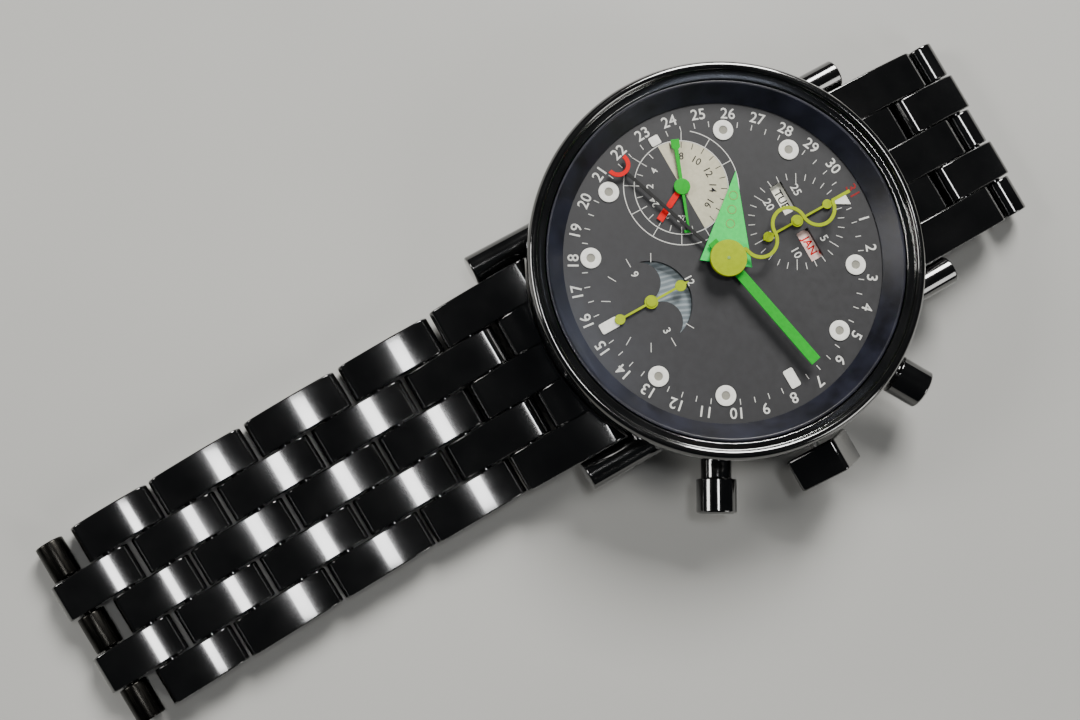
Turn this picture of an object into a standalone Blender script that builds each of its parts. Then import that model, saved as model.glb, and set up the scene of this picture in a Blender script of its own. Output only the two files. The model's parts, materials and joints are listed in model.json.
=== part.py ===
"""Chronograph wristwatch on a five-column link bracelet, lying on its case back.

Frame: origin at the centre of the case back's flat outer face, +Z out through the dial,
+Y towards 12 o'clock and +X towards 3 o'clock (the crown). Lengths below are in millimetres
and become metres when a mesh is made.
"""
import math

import bmesh
import bpy
from mathutils import Matrix, Vector

MM = 0.001
TURNED_SIDES = 40
SMALL_SIDES = 16
PIN_SIDES = 10

# Heights above the case back's outer face.
DIAL_BOTTOM = 9.0
DIAL_TOP = 9.5
CONTROL_HEIGHT = 5.0
LUG_HEIGHT = 4.9

# Case.
CASE_RADIUS = 18.9
CAVITY_RADIUS = 15.1
LUG_RADIUS = 1.45
LUG_OFFSET = 11.5
LUG_REACH = 21.3
BAR_DISTANCE = 20.0
BAR_HEIGHT = 4.6
BAR_RADIUS = 0.6
BAR_HALF_LENGTH = 11.1
RUNNING_GAP = 0.07
TUBE_SPAN = (15.4, 16.7)

# Crown and pushers.
CROWN_SIDE = 5.4
CROWN_SPAN = (19.9, 23.3)
CROWN_TURN = math.radians(35)
CROWN_EDGE = 0.45
STEM_RADIUS = 0.5
STEM_SPAN = (8.5, 21.4)
STEM_ORIGIN = 19.0
CROWN_TUBE = (1.18, 15.4, 19.5)
CROWN_BORE_RADIUS = 1.25
CAP_RADIUS = 1.98
CAP_SPAN = (20.7, 24.2)
CAP_EDGE = 0.15
NECK_RADIUS = 1.5
NECK_START = 17.9
PLUNGER_RADIUS = 0.6
PLUNGER_START = 14.6
PUSHER_ORIGIN = 18.0
PUSHER_ANGLES = {"start_pusher": math.radians(31), "reset_pusher": math.radians(-30)}

# Dial.
SUBDIAL_OFFSET = 8.3
WINDOW_OFFSET = 2.6
WINDOW_SIZE = (3.1, 1.35)
MOON_RADIUS = 4.05
DIAL_RADIUS = 17.2
DISC_SPAN = (8.6, 8.8)
NAME_DISC_RADIUS = 4.9
NAME_DISC_CENTRES = {"day_disc": (-5.2, 7.6), "month_disc": (5.2, 7.6)}
MOON_DISC_RADII = (0.4, 4.6)
PIPE_BOTTOM = 8.45
HAND_ANGLES = {"day_night": 153, "small_seconds": 291.5, "date": 251, "hour": 306.6, "minute": 78.6}
BEND_RADIUS = 1.65
SECONDS_TIP = 13.9

# Movement: centre x, centre y, radius, bottom, top and finish of each wheel.
WHEELS = {
    "mainspring_barrel": (-3.5, 7.5, 5.2, 4.5, 5.9, "brass"),
    "third_wheel": (-3.2, 0.2, 2.1, 5.6, 5.8, "brass"),
    "fourth_wheel": (-8.3, 0.0, 2.6, 5.3, 5.5, "brass"),
    "escape_wheel": (-9.3, -4.6, 1.6, 5.6, 5.8, "steel"),
}
BALANCE_CENTRE = (-5.6, -6.3)
BALANCE_RADII = (3.9, 4.5)
PILLAR_ANGLES = (70, 160, 200, 290)
PILLAR_CIRCLE = 12.6

# Bracelet: three outer columns alternate with two inner ones.
COLUMN_PITCH = 4.0
PLATE_WIDTH = 3.84
OUTER_COLUMNS = (-2, 0, 2)
INNER_COLUMNS = (-1, 1)
PIN_RADIUS = 0.65
PIN_CLEARANCE = 0.1
PIN_OVERHANG = 1.2
LINK_END = 2.5
SHORT_END = 2.0
SHORT_FROM = 7
LAST_END = 1.9
LINK_CROWN = 0.35
END_SHAPE = ((0.52, 1.45), (0.8, 1.05), (1.0, 0.3), (1.0, -0.4), (0.82, -1.1), (0.52, -1.5))
COLUMN_TAPER = 0.012
LEFT_PIN_STEPS = (5.2, 5.2, 5.2, 5.2, 5.2, 5.2, 4.6, 4.3, 4.3)
LEFT_PIN_HEIGHTS = (3.4, 2.0, 1.7, 1.55, 1.55, 1.55, 1.55, 1.55, 1.55, 1.55)
LEFT_FIRST_PIN = 24.3
STEP_YAW = math.radians(0.44)
YAWED_STEPS = 5
RIGHT_FIRST_PIN = 27.4
RIGHT_PIN_STEP = 4.5
RIGHT_PIN_HEIGHTS = (3.2, 1.8)
KNUCKLE_RADII = {"clasp_knuckle_6": 1.4, "clasp_knuckle_12": 1.5}
END_LINK_HALF_WIDTH = 9.95
END_LINK_REACH = {"end_link_6": 1.55, "end_link_12": 4.7}

# Colours: base colour, metallic, roughness.
FINISHES = {
    "black_coating": ((0.012, 0.012, 0.014), 0.9, 0.16),
    "dial_black": ((0.055, 0.056, 0.06), 0.0, 0.5),
    "crystal": ((0.85, 0.9, 0.95), 0.0, 0.02),
    "green_lacquer": ((0.1, 0.62, 0.2), 0.0, 0.4),
    "yellow_lacquer": ((0.62, 0.66, 0.05), 0.0, 0.4),
    "red_lacquer": ((0.7, 0.05, 0.04), 0.0, 0.4),
    "cream_print": ((0.75, 0.72, 0.6), 0.0, 0.6),
    "moon_blue": ((0.28, 0.36, 0.42), 0.0, 0.5),
    "steel": ((0.6, 0.6, 0.6), 1.0, 0.3),
    "brass": ((0.75, 0.58, 0.3), 1.0, 0.35),
    "seal_rubber": ((0.02, 0.02, 0.02), 0.0, 0.8),
}


def clear_scene():
    for obj in list(bpy.data.objects):
        bpy.data.objects.remove(obj, do_unlink=True)


def finish_material(finish):
    material = bpy.data.materials.get(finish)
    if material:
        return material
    colour, metallic, roughness = FINISHES[finish]
    material = bpy.data.materials.new(finish)
    material.use_nodes = True
    shader = material.node_tree.nodes["Principled BSDF"]
    shader.inputs["Base Color"].default_value = (*colour, 1.0)
    shader.inputs["Metallic"].default_value = metallic
    shader.inputs["Roughness"].default_value = roughness
    return material


def make_object(name, bm, finish=None, origin=(0, 0, 0)):
    """Turn a bmesh in millimetres into an object whose origin is at the given point."""
    bmesh.ops.translate(bm, verts=bm.verts, vec=-Vector(origin))
    bmesh.ops.scale(bm, verts=bm.verts, vec=(MM, MM, MM))
    bmesh.ops.recalc_face_normals(bm, faces=bm.faces)
    mesh = bpy.data.meshes.new(name)
    bm.to_mesh(mesh)
    bm.free()
    mesh.shade_smooth()
    mesh.set_sharp_from_angle(angle=math.radians(35))
    obj = bpy.data.objects.new(name, mesh)
    obj.location = Vector(origin) * MM
    bpy.context.scene.collection.objects.link(obj)
    if finish:
        mesh.materials.append(finish_material(finish))
    else:
        obj.hide_render = True
        obj.display_type = "WIRE"
    return obj


def boolean(obj, tool, operation):
    modifier = obj.modifiers.new(operation.lower(), "BOOLEAN")
    modifier.operation = operation
    modifier.object = tool
    modifier.solver = "EXACT"


def add_turned(bm, profile, sides=TURNED_SIDES, matrix=Matrix()):
    """Revolve (radius, height) points about Z. A profile off the axis closes on itself."""
    rings = []
    for radius, height in profile:
        if radius == 0:
            rings.append([bm.verts.new(matrix @ Vector((0, 0, height)))])
            continue
        ring = []
        for i in range(sides):
            angle = 2 * math.pi * i / sides
            point = Vector((radius * math.cos(angle), radius * math.sin(angle), height))
            ring.append(bm.verts.new(matrix @ point))
        rings.append(ring)
    pairs = list(zip(rings, rings[1:]))
    if profile[0][0] and profile[-1][0]:
        pairs.append((rings[-1], rings[0]))
    for low, high in pairs:
        for i in range(sides):
            j = (i + 1) % sides
            corners = [low[i % len(low)], low[j % len(low)], high[j % len(high)], high[i % len(high)]]
            unique = list(dict.fromkeys(corners))
            if len(unique) > 2:
                bm.faces.new(unique)


def add_cylinder(bm, radius, low, high, sides=SMALL_SIDES, matrix=Matrix()):
    add_turned(bm, ((0, low), (radius, low), (radius, high), (0, high)), sides, matrix)


def add_prism(bm, outline, low, high, matrix=Matrix()):
    bottom = [bm.verts.new(matrix @ Vector((x, y, low))) for x, y in outline]
    top = [bm.verts.new(matrix @ Vector((x, y, high))) for x, y in outline]
    bm.faces.new(bottom[::-1])
    bm.faces.new(top)
    for i in range(len(outline)):
        j = (i + 1) % len(outline)
        bm.faces.new((bottom[i], bottom[j], top[j], top[i]))


def turned(name, profile, finish=None, sides=TURNED_SIDES, matrix=Matrix(), origin=(0, 0, 0)):
    bm = bmesh.new()
    add_turned(bm, profile, sides, matrix)
    return make_object(name, bm, finish, origin)


def cylinders(name, specs, finish=None, sides=SMALL_SIDES, origin=(0, 0, 0)):
    """specs holds (radius, low, high, matrix) for each cylinder."""
    bm = bmesh.new()
    for radius, low, high, matrix in specs:
        add_cylinder(bm, radius, low, high, sides, matrix)
    return make_object(name, bm, finish, origin)


def ring_profile(inner, outer, low, high):
    return ((inner, low), (outer, low), (outer, high), (inner, high))


def rectangle(x0, y0, x1, y1):
    return ((x0, y0), (x1, y0), (x1, y1), (x0, y1))


def arc(centre, radius, start, end, steps):
    points = []
    for i in range(steps + 1):
        angle = math.radians(start + (end - start) * i / steps)
        points.append((centre[0] + radius * math.cos(angle), centre[1] + radius * math.sin(angle)))
    return points


def ribbon(path, width):
    """Outline of a band of constant width along a path."""
    left, right = [], []
    for i, point in enumerate(path):
        before = Vector(path[max(i - 1, 0)])
        after = Vector(path[min(i + 1, len(path) - 1)])
        along = (after - before).normalized()
        side = Vector((-along.y, along.x)) * width / 2
        left.append(tuple(Vector(point) + side))
        right.append(tuple(Vector(point) - side))
    return left + right[::-1]


def along_x(angle=0.0, height=CONTROL_HEIGHT):
    """Carries local Z onto the horizontal direction at this angle from +X."""
    turn = Matrix.Rotation(angle, 4, "Z") @ Matrix.Rotation(math.pi / 2, 4, "Y")
    return Matrix.Translation((0, 0, height)) @ turn


def across(distance, height):
    """Carries local Z onto +X, through a point on the 12-6 line."""
    return Matrix.Translation((0, distance, height)) @ Matrix.Rotation(math.pi / 2, 4, "Y")


# ---------------------------------------------------------------- case

def make_case():
    wall = ((17.2, 1.2), (18.3, 3.0), (CASE_RADIUS, 6.0), (CASE_RADIUS, 9.6), (18.6, 10.0),
            (18.6, 10.3), (17.65, 10.3), (17.65, 8.95), (CAVITY_RADIUS, 8.95), (CAVITY_RADIUS, 1.2))
    case = turned("case_middle", wall, "black_coating")
    lugs = []
    for x in (-LUG_OFFSET, LUG_OFFSET):
        for side in (-1, 1):
            turn = Matrix.Rotation(-side * math.pi / 2, 4, "X")
            lugs.append((LUG_RADIUS, 11.5, LUG_REACH, Matrix.Translation((x, 0, LUG_HEIGHT)) @ turn))
    boolean(case, cylinders("lug_bars", lugs), "UNION")
    bores = [(CROWN_BORE_RADIUS, 14, 20, along_x())]
    for angle in PUSHER_ANGLES.values():
        bores.append((NECK_RADIUS + RUNNING_GAP, 14, 20, along_x(angle)))
    for side in (-1, 1):
        bar = across(side * BAR_DISTANCE, BAR_HEIGHT)
        bores.append((BAR_RADIUS + RUNNING_GAP, -BAR_HALF_LENGTH - 0.2, BAR_HALF_LENGTH + 0.2, bar))
    boolean(case, cylinders("case_bores", bores), "DIFFERENCE")


def make_shell():
    back = ((0, 0), (15.6, 0), (16.4, 0.5), (16.4, 1.1), (16.05, 1.1), (16.05, 0.65),
            (15.35, 0.65), (15.35, 1.1), (14.9, 1.1), (14.9, 2.0), (14.0, 2.0), (13.6, 1.4), (0, 1.4))
    turned("case_back", back, "black_coating")
    turned("case_back_gasket", ring_profile(15.42, 15.98, 0.72, 1.12), "seal_rubber")
    bezel = ((17.6, 10.36), (19.0, 10.36), (19.3, 10.6), (19.3, 11.7), (19.15, 12.0), (18.7, 12.1),
             (18.4, 12.0), (18.4, 11.3), (17.6, 11.3))
    turned("bezel", bezel, "black_coating")
    glass = ((0, 12.75), (8, 12.68), (14, 12.48), (17.7, 12.25), (18.3, 11.9), (18.3, 11.4),
             (17.4, 11.4), (17.2, 11.75), (0, 11.75))
    turned("crystal", glass, "crystal")
    flange = ((15.65, 9.58), (17.5, 9.58), (17.5, 11.2), (17.3, 11.2))
    turned("dial_flange", flange, "black_coating")


def make_controls():
    inner, outer = STEM_SPAN
    turned("winding_stem", ((0, inner), (STEM_RADIUS, inner), (STEM_RADIUS, outer), (0, outer)),
           "steel", PIN_SIDES, along_x(), (STEM_ORIGIN, 0, CONTROL_HEIGHT))
    turned("crown_tube", ring_profile(STEM_RADIUS + RUNNING_GAP, *CROWN_TUBE), "steel",
           SMALL_SIDES, along_x())
    half = CROWN_SIDE / 2
    soft = CROWN_EDGE
    outline = []
    for cx, cy, start in ((half, half, 0), (-half, half, 90), (-half, -half, 180), (half, -half, 270)):
        centre = (cx - math.copysign(soft, cx), cy - math.copysign(soft, cy))
        outline += arc(centre, soft, start, start + 90, 3)
    bm = bmesh.new()
    add_prism(bm, outline, CROWN_SPAN[0], CROWN_SPAN[1],
              along_x() @ Matrix.Rotation(CROWN_TURN, 4, "Z"))
    crown = make_object("crown", bm, "black_coating", (CROWN_SPAN[0], 0, CONTROL_HEIGHT))
    socket = cylinders("crown_socket", [(STEM_RADIUS + RUNNING_GAP, 19, STEM_SPAN[1] + 0.2, along_x())],
                       None, PIN_SIDES)
    boolean(crown, socket, "DIFFERENCE")
    for name, angle in PUSHER_ANGLES.items():
        profile = ((0, PLUNGER_START), (PLUNGER_RADIUS, PLUNGER_START), (PLUNGER_RADIUS, NECK_START),
                   (NECK_RADIUS, NECK_START), (NECK_RADIUS, CAP_SPAN[0]), (CAP_RADIUS, CAP_SPAN[0]),
                   (CAP_RADIUS, CAP_SPAN[1] - CAP_EDGE), (CAP_RADIUS - CAP_EDGE, CAP_SPAN[1]),
                   (0, CAP_SPAN[1]))
        place = (PUSHER_ORIGIN * math.cos(angle), PUSHER_ORIGIN * math.sin(angle), CONTROL_HEIGHT)
        turned(name, profile, "black_coating", SMALL_SIDES, along_x(angle), place)
        tube = ring_profile(PLUNGER_RADIUS + RUNNING_GAP, NECK_RADIUS, *TUBE_SPAN)
        turned(name + "_tube", tube, "steel", SMALL_SIDES, along_x(angle))


# ---------------------------------------------------------------- dial side

def moon_aperture():
    """Moon window above the lower sub-dial's hub: an outer arc and two round bites."""
    outline = arc((0, 0), MOON_RADIUS, 14, 166, 12)
    outline += arc((-2.15, 0.1), 1.95, 150, 15, 6)
    outline += arc((2.15, 0.1), 1.95, 165, 30, 6)
    return [(x, y - SUBDIAL_OFFSET) for x, y in outline]


def make_dial():
    disc = ((0, DIAL_BOTTOM), (DIAL_RADIUS, DIAL_BOTTOM), (DIAL_RADIUS, DIAL_TOP), (0, DIAL_TOP))
    dial = turned("dial", disc, "dial_black")
    low, high = DIAL_BOTTOM - 1, DIAL_TOP + 1
    bm = bmesh.new()
    for side in (-1, 1):
        x = side * WINDOW_OFFSET
        w, h = WINDOW_SIZE
        box = rectangle(x - w / 2, SUBDIAL_OFFSET - h / 2, x + w / 2, SUBDIAL_OFFSET + h / 2)
        add_prism(bm, box, low, high)
    add_prism(bm, moon_aperture(), low, high)
    for x, y, radius in ((0, 0, 1.25), (0, SUBDIAL_OFFSET, 0.36), (0, -SUBDIAL_OFFSET, 0.36),
                         (-SUBDIAL_OFFSET, 0, 0.62)):
        add_cylinder(bm, radius, low, high, PIN_SIDES, Matrix.Translation((x, y, 0)))
    boolean(dial, make_object("dial_openings", bm), "DIFFERENCE")
    bottom, top = DISC_SPAN
    profile = ((0, bottom), (NAME_DISC_RADIUS, bottom), (NAME_DISC_RADIUS, top), (0, top))
    for name, (x, y) in NAME_DISC_CENTRES.items():
        turned(name, profile, "cream_print", 32, Matrix.Translation((x, y, 0)), (x, y, bottom))
    turned("moon_disc", ring_profile(*MOON_DISC_RADII, bottom, top), "moon_blue", 32,
           Matrix.Translation((0, -SUBDIAL_OFFSET, 0)), (0, -SUBDIAL_OFFSET, bottom))


def make_hand(name, outline, low, high, finish, centre, clock_degrees, hub, pipe, bore=0.0):
    """A flat hand with a round hub and a pipe that runs down through the dial.

    hub is (radius, top) and pipe is the pipe's radius."""
    place = Matrix.Translation((*centre, 0)) @ Matrix.Rotation(-math.radians(clock_degrees), 4, "Z")
    bm = bmesh.new()
    add_prism(bm, outline, low, high, place)
    hand = make_object(name, bm, finish, (*centre, low))
    axle = ((0, PIPE_BOTTOM), (pipe, PIPE_BOTTOM), (pipe, low), (hub[0], low), (hub[0], hub[1]),
            (0, hub[1]))
    boolean(hand, turned(name + "_hub", axle, None, SMALL_SIDES, place), "UNION")
    if bore:
        hole = cylinders(name + "_bore", [(bore, PIPE_BOTTOM - 1, hub[1] + 1, place)])
        boolean(hand, hole, "DIFFERENCE")
    return hand


def ball_hand(reach, tail, balls, tip):
    """Outline of a thin bar with round beads along it, drawn up one side and down the other."""
    half = 0.12
    side = [(half, -tail)]
    for centre, radius in balls:
        dip = math.degrees(math.asin(half / radius))
        side += arc((0, centre), radius, -90 + dip, 90 - dip, 6)
    side += [(half, reach), (half * tip, reach + 0.3)]
    return side + [(-x, y) for x, y in reversed(side)]


def seconds_path():
    """Sweep hand path: three alternating half circles, then a straight tip."""
    radius = BEND_RADIUS
    path = [(0, 1.2)]
    for k, turn in enumerate((1, -1, 1)):
        middle = 2.0 + radius * (2 * k + 1)
        half_circle = arc((0, middle), radius, -90, -90 + turn * 180, 10)
        path += half_circle[(0 if k == 0 else 1):]
    return path + [(0, SECONDS_TIP)]


def make_hands():
    nine = (-SUBDIAL_OFFSET, 0)
    twelve = (0, SUBDIAL_OFFSET)
    six = (0, -SUBDIAL_OFFSET)
    counter = ball_hand(4.0, 3.9, ((-3.3, 0.5), (0, 0.6), (3.5, 0.47)), 0.5)
    make_hand("thirty_minute_hand", counter, 9.64, 9.78, "yellow_lacquer", twelve, 0,
              (0.45, 9.86), 0.28)
    hours = ball_hand(3.9, 4.0, ((-3.5, 0.5), (0, 0.66), (3.3, 0.54)), 0.5)
    make_hand("twelve_hour_hand", hours, 9.64, 9.78, "yellow_lacquer", six, 0,
              (0.5, 9.86), 0.28)
    day_hand = ((-0.2, -0.3), (0.2, -0.3), (0.3, 0.9), (0.3, 2.3), (0.16, 2.5), (0.34, 2.8),
                (0.34, 4.0), (-0.34, 4.0), (-0.34, 2.8), (-0.16, 2.5), (-0.3, 2.3), (-0.3, 0.9))
    make_hand("day_night_hand", day_hand, 9.6, 9.7, "red_lacquer", nine, HAND_ANGLES["day_night"],
              (0.7, 9.72), 0.52, 0.36)
    small = ((-0.1, -4.3), (-0.45, -4.3), (-0.45, -4.55), (0.45, -4.55), (0.45, -4.3), (0.1, -4.3),
             (0.2, 3.7), (0.42, 3.9), (0.42, 4.7), (-0.42, 4.7), (-0.42, 3.9), (-0.2, 3.7))
    make_hand("small_seconds_hand", small, 9.78, 9.9, "green_lacquer", nine, HAND_ANGLES["small_seconds"],
              (0.8, 9.95), 0.28)
    outer, inner, frame_at = 1.2, 0.8, (0, 13.85)
    date = [(-0.17, -2.4), (0.17, -2.4), (0.17, 12.7)] + arc(frame_at, outer, -80, 8, 6)
    date += arc(frame_at, inner, 8, -188, 10) + arc(frame_at, outer, -188, -100, 6) + [(-0.17, 12.7)]
    make_hand("date_hand", date, 10.02, 10.14, "red_lacquer", (0, 0), HAND_ANGLES["date"],
              (1.5, 10.16), 1.1, 0.87)
    hour = ((-2.56, -0.4), (2.56, -0.4), (0, 8.85))
    make_hand("hour_hand", hour, 10.35, 10.5, "green_lacquer", (0, 0), HAND_ANGLES["hour"],
              (1.2, 10.52), 0.8, 0.57)
    minute = ((-0.5, -2.2), (0.5, -2.2), (0.55, 12.9), (-0.55, 12.9))
    make_hand("minute_hand", minute, 10.72, 10.87, "green_lacquer", (0, 0), HAND_ANGLES["minute"],
              (1.2, 10.89), 0.5, 0.32)
    make_hand("chronograph_seconds_hand", ribbon(seconds_path(), 0.32), 11.08, 11.23,
              "yellow_lacquer", (0, 0), 0, (1.78, 11.5), 0.25)


# ---------------------------------------------------------------- movement

def make_movement():
    turned("movement_ring", ring_profile(13.95, 15.02, 6.0, 8.3), "brass")
    turned("main_plate", ((0, 6.0), (13.85, 6.0), (13.85, 8.38), (0, 8.38)), "brass")
    bridge = turned("train_bridge", ring_profile(1.2, 13.5, 3.75, 4.35), "brass")
    pillars = []
    for degrees in PILLAR_ANGLES:
        angle = math.radians(degrees)
        where = Matrix.Translation((PILLAR_CIRCLE * math.cos(angle), PILLAR_CIRCLE * math.sin(angle), 0))
        pillars.append((0.6, 4.0, 5.95, where))
    boolean(bridge, cylinders("bridge_pillars", pillars), "UNION")
    turned("rotor_bearing", ((0, 2.4), (1.6, 2.4), (1.6, 2.5), (1.1, 2.5), (1.1, 4.5), (0, 4.5)),
           "steel", SMALL_SIDES)
    weight = arc((0, 0), 14.2, 180, 360, 16) + arc((0, 0), 1.9, 0, 180, 6)
    bm = bmesh.new()
    add_prism(bm, weight, 2.55, 3.5)
    rotor = make_object("winding_rotor", bm, "steel", (0, 0, 2.55))
    boolean(rotor, cylinders("rotor_bore", [(1.17, 2, 4, Matrix())]), "DIFFERENCE")
    for name, (x, y, radius, low, high, finish) in WHEELS.items():
        turned(name, ((0, low), (radius, low), (radius, high), (0, high)), finish, 24,
               Matrix.Translation((x, y, 0)), (x, y, low))
    x, y = BALANCE_CENTRE
    rim = turned("balance_wheel", ring_profile(*BALANCE_RADII, 4.65, 5.1), "brass", 32,
                 Matrix.Translation((x, y, 0)), (x, y, 4.65))
    bm = bmesh.new()
    add_prism(bm, rectangle(x - 4.4, y - 0.3, x + 4.4, y + 0.3), 4.75, 5.0)
    boolean(rim, make_object("balance_arm", bm), "UNION")


# ---------------------------------------------------------------- bracelet

def strand_pins(first, steps, heights, side, yawed=0):
    """Pin centres and headings of a strand that leaves the case towards side * Y."""
    point = Vector((0, side * first, heights[0]))
    pins = [(point.copy(), 0.0)]
    heading = 0.0
    for i, step in enumerate(steps):
        if i < yawed:
            heading += STEP_YAW
        drop = heights[i] - heights[i + 1]
        flat = math.sqrt(step * step - drop * drop)
        point = point + Vector((math.sin(heading) * flat, side * math.cos(heading) * flat, -drop))
        pins.append((point.copy(), heading))
    return pins


def strand_frame(start, end, side, heading):
    """Local X across the strand, local Y along it and local Z out of its top face."""
    along = (end - start).normalized()
    across_axis = Vector((math.cos(heading), -side * math.sin(heading), 0))
    up = along.cross(across_axis)
    if up.z < 0:
        up = -up
    frame = Matrix((across_axis, along, up)).transposed().to_4x4()
    return Matrix.Translation(start) @ frame


def link_outline(length, first_end, last_end):
    """Side view of a link: (along, height) points, crowned on top."""
    outline = [(length + a * last_end, h) for a, h in END_SHAPE]
    outline += [(-a * first_end, h) for a, h in reversed(END_SHAPE)]
    left, right = outline[-1][0], outline[0][0]
    for i in range(1, 6):
        t = i / 6
        outline.append((left + (right - left) * t, END_SHAPE[0][1] + LINK_CROWN * 4 * t * (1 - t)))
    return outline


def add_plate(bm, outline, column, frame, pitch=COLUMN_PITCH):
    """Extrude a side view across one column of the bracelet."""
    half = PLATE_WIDTH / 2 * pitch / COLUMN_PITCH
    stand = Matrix(((0, 0, 1, column * pitch), (1, 0, 0, 0), (0, 1, 0, 0), (0, 0, 0, 1)))
    add_prism(bm, outline, -half, half, frame @ stand)


def pin_matrix(point, side, heading):
    turn = Matrix.Rotation(-side * heading, 4, "Z") @ Matrix.Rotation(math.pi / 2, 4, "Y")
    return Matrix.Translation(point) @ turn


def make_outer_row(name, frame, outline, pins, side, pitch, finish="black_coating"):
    """Three plates in the outer columns, joined by the pins pressed into them."""
    bm = bmesh.new()
    for column in OUTER_COLUMNS:
        add_plate(bm, outline, column, frame, pitch)
    row = make_object(name, bm, finish, pins[0][0])
    reach = 2 * pitch + PIN_OVERHANG
    rods = [(PIN_RADIUS, -reach, reach, pin_matrix(p, side, h)) for p, h in pins]
    boolean(row, cylinders(name + "_pins", rods, None, PIN_SIDES), "UNION")


def make_inner_row(name, frame, outline, pins, side, pitch):
    """Two loose plates in the inner columns, bored for the neighbouring rows' pins."""
    bores = [(PIN_RADIUS + PIN_CLEARANCE, -8, 8, pin_matrix(p, side, h)) for p, h in pins]
    tool = cylinders(name + "_bores", bores, None, PIN_SIDES)
    for column, label in zip(INNER_COLUMNS, ("9_side", "3_side")):
        bm = bmesh.new()
        add_plate(bm, outline, column, frame, pitch)
        plate = make_object(name + "_" + label, bm, "black_coating", pins[0][0])
        boolean(plate, tool, "DIFFERENCE")


def make_end_link(name, side, first_pin, height):
    """Fixed link between the lugs, with three teeth that hold the strand's first pin."""
    body_end = END_LINK_REACH[name]
    pin = Vector((0, side * first_pin, height))
    bar = Vector((0, side * BAR_DISTANCE, BAR_HEIGHT))
    frame = strand_frame(bar, pin, side, 0.0)
    length = (pin - bar).length
    bm = bmesh.new()
    block = ((-4.2, -1.5), (body_end, -1.5), (body_end, 1.1), (body_end - 0.4, 1.5), (-4.2, 1.7))
    stand = Matrix(((0, 0, 1, 0), (1, 0, 0, 0), (0, 1, 0, 0), (0, 0, 0, 1)))
    add_prism(bm, block, -END_LINK_HALF_WIDTH, END_LINK_HALF_WIDTH, frame @ stand)
    link = make_object(name, bm, "black_coating")
    bm = bmesh.new()
    ends = [(length + a * LINK_END, h) for a, h in END_SHAPE]
    tooth = ends + [(body_end - 1.5, -1.42), (body_end - 1.5, 1.42)]
    for column in OUTER_COLUMNS:
        add_plate(bm, tooth, column, frame)
    boolean(link, make_object(name + "_teeth", bm), "UNION")
    reach = 2 * COLUMN_PITCH + PIN_OVERHANG
    rod = [(PIN_RADIUS, -reach, reach, pin_matrix(pin, side, 0.0))]
    boolean(link, cylinders(name + "_pin", rod, None, PIN_SIDES), "UNION")
    cuts = [(CASE_RADIUS + 0.12, -1, 12, Matrix())]
    boolean(link, cylinders(name + "_case_cut", cuts, None, 96), "DIFFERENCE")
    hole = [(BAR_RADIUS + RUNNING_GAP, -12, 12, across(side * BAR_DISTANCE, BAR_HEIGHT))]
    boolean(link, cylinders(name + "_bar_bore", hole, None, PIN_SIDES), "DIFFERENCE")


def make_spring_bars():
    for name, side in (("spring_bar_12", 1), ("spring_bar_6", -1)):
        bar = ((0, -BAR_HALF_LENGTH), (BAR_RADIUS, -BAR_HALF_LENGTH), (BAR_RADIUS, BAR_HALF_LENGTH),
               (0, BAR_HALF_LENGTH))
        turned(name, bar, "steel", PIN_SIDES, across(side * BAR_DISTANCE, BAR_HEIGHT))


def make_knuckle(name, pin, heading, side, pitch, finish):
    """Three barrels on the strand's last pin, where a clasp would join."""
    radius = KNUCKLE_RADII[name]
    outline = arc((0, 0), radius, -90, 270, 16)[:-1]
    frame = strand_frame(pin - Vector((0, side, 0)), pin, side, heading)
    frame = Matrix.Translation(pin) @ frame.to_3x3().to_4x4()
    make_outer_row(name, frame, outline, [(pin, heading)], side, pitch, finish)


def make_long_strand():
    side = -1
    pins = strand_pins(LEFT_FIRST_PIN, LEFT_PIN_STEPS, LEFT_PIN_HEIGHTS, side, YAWED_STEPS)
    for i in range(len(pins) - 1):
        start, end = pins[i], pins[i + 1]
        frame = strand_frame(start[0], end[0], side, end[1])
        first_end = SHORT_END if i >= SHORT_FROM else LINK_END
        last_end = SHORT_END if i + 1 >= SHORT_FROM else LINK_END
        outline = link_outline((end[0] - start[0]).length, first_end, last_end)
        pitch = COLUMN_PITCH - COLUMN_TAPER * (i + 1)
        row = i // 2 + 1
        held = [(start[0], end[1]), (end[0], end[1])]
        if i % 2:
            make_outer_row("outer_links_%d" % row, frame, outline, held, side, pitch)
        else:
            bores = [(start[0], start[1]), (end[0], pins[min(i + 2, len(pins) - 1)][1])]
            make_inner_row("inner_link_%d" % row, frame, outline, bores, side, pitch)
    last, heading = pins[-1]
    make_knuckle("clasp_knuckle_6", last, heading, side, COLUMN_PITCH - COLUMN_TAPER * len(pins), "steel")


def make_short_strand():
    side = 1
    pins = strand_pins(RIGHT_FIRST_PIN, (RIGHT_PIN_STEP,), RIGHT_PIN_HEIGHTS, side)
    start, end = pins[0][0], pins[1][0]
    frame = strand_frame(start, end, side, 0.0)
    outline = link_outline((end - start).length, LINK_END, LAST_END)
    make_inner_row("short_inner_link", frame, outline, pins, side, COLUMN_PITCH)
    make_knuckle("clasp_knuckle_12", end, 0.0, side, COLUMN_PITCH, "black_coating")


def main():
    clear_scene()
    make_case()
    make_shell()
    make_controls()
    make_dial()
    make_hands()
    make_movement()
    make_spring_bars()
    make_end_link("end_link_6", -1, LEFT_FIRST_PIN, LEFT_PIN_HEIGHTS[0])
    make_end_link("end_link_12", 1, RIGHT_FIRST_PIN, RIGHT_PIN_HEIGHTS[0])
    make_long_strand()
    make_short_strand()


main()
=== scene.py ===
import json
import math

import bmesh
import bpy
from mathutils import Matrix, Vector


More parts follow.
